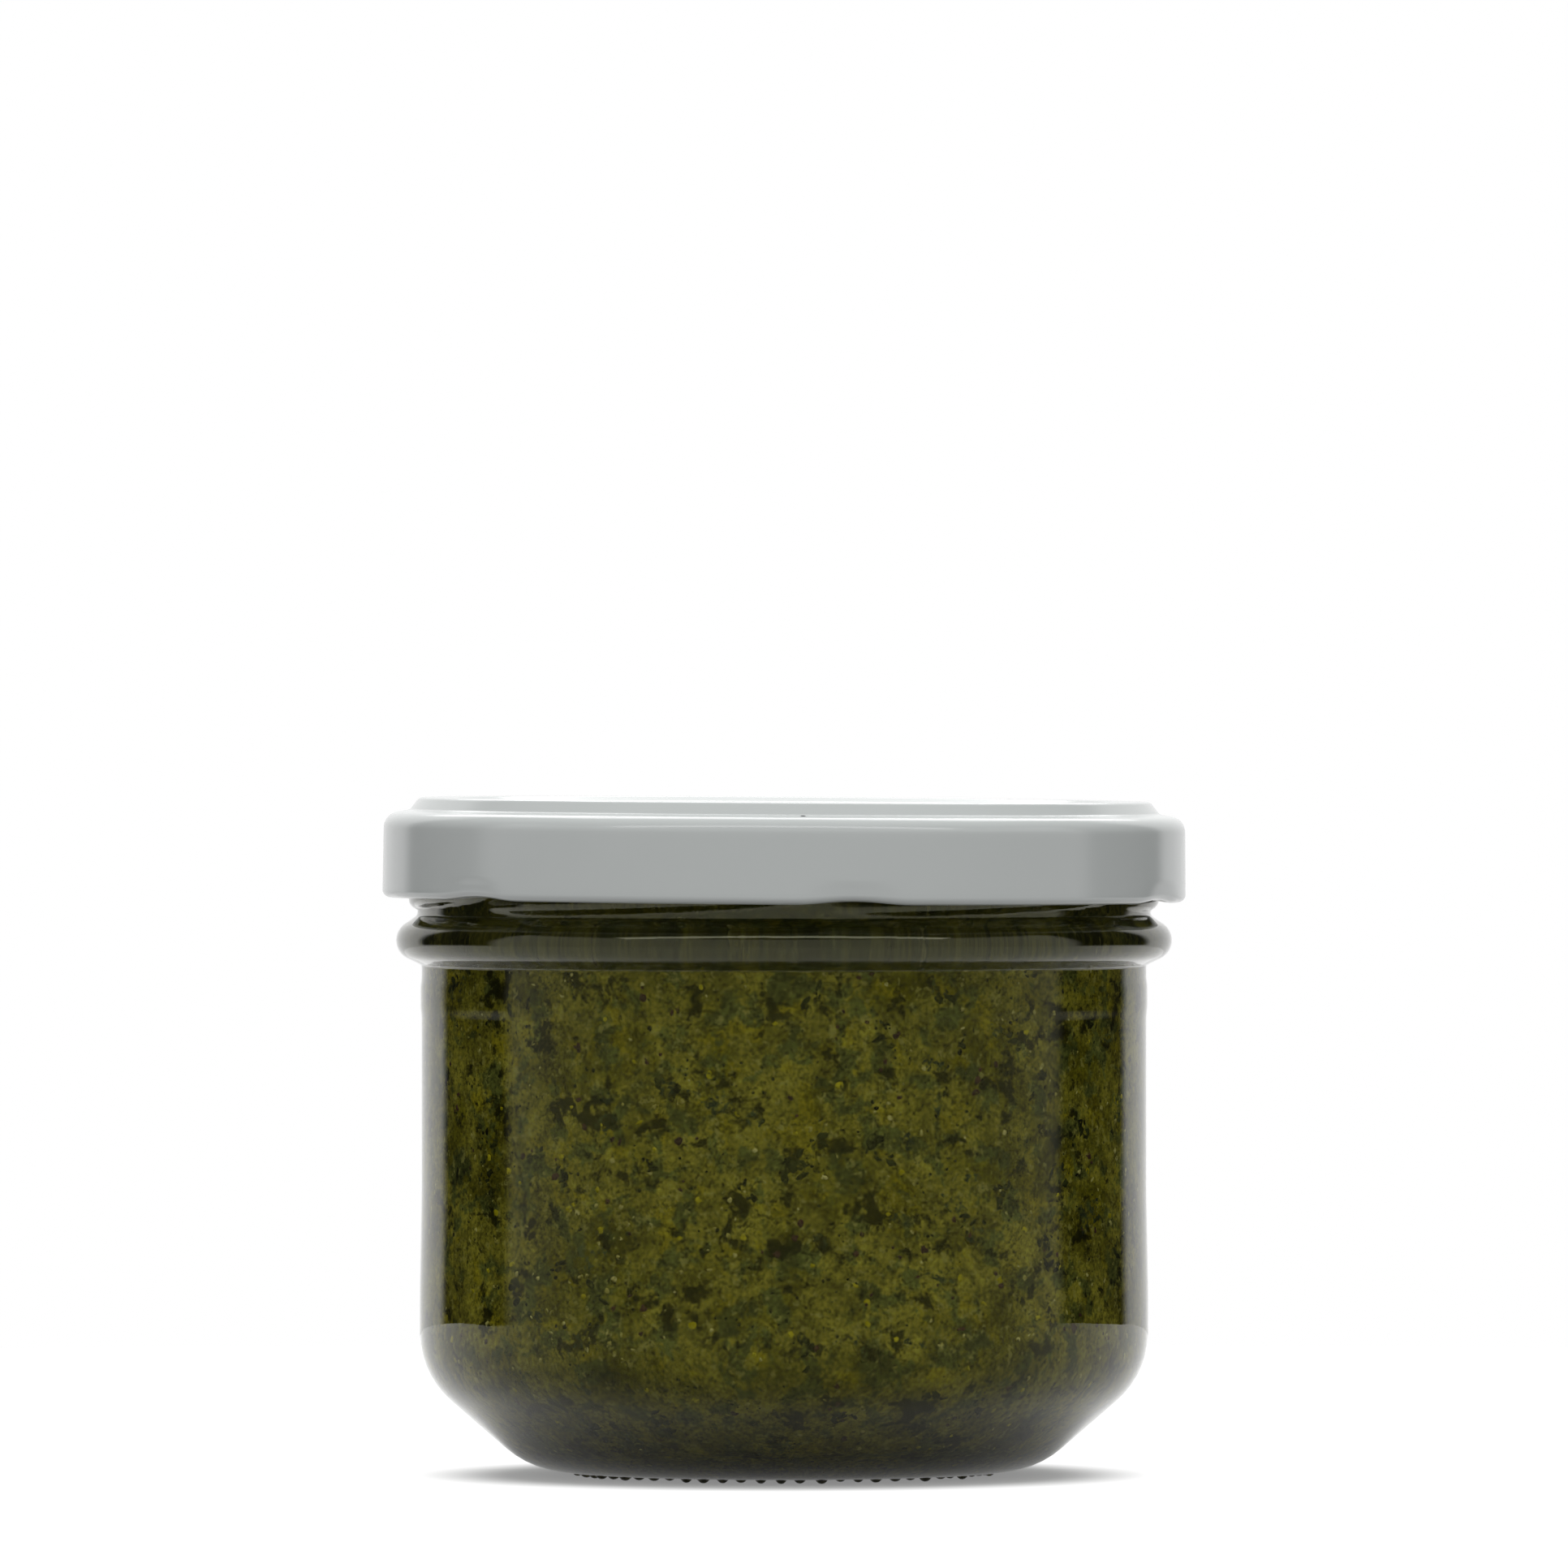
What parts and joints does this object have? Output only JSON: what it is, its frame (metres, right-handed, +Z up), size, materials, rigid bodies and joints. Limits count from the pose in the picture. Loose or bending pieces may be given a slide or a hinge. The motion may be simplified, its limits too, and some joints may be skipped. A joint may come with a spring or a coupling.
{
  "type": "glass jar of pesto",
  "caption": "Squat clear glass jar filled with green pesto and shut with a white lacquered twist-off lid; it stands on a ring of small glass studs.",
  "frame": {"origin": "on the ground, at the middle of the ring of studs that the jar stands on", "axes": "+Z up along the jar's axis to the lid; -Y is the front, the side that the picture shows; +X is to its right"},
  "size_m": [0.0852, 0.0852, 0.0719],
  "materials": {
    "clear_glass": "clear moulded soda-lime glass, glossy, with a faint green edge",
    "lid_lacquer": "glossy off-white lacquer on pressed tinplate",
    "pesto_sauce": "oily green basil paste with dark leaf flecks and pale nut and cheese crumbs"
  },
  "bodies": {
    "root": {"glass_jar": "clear_glass", "lid": "lid_lacquer", "pesto": "pesto_sauce"}
  },
  "joints": []
}
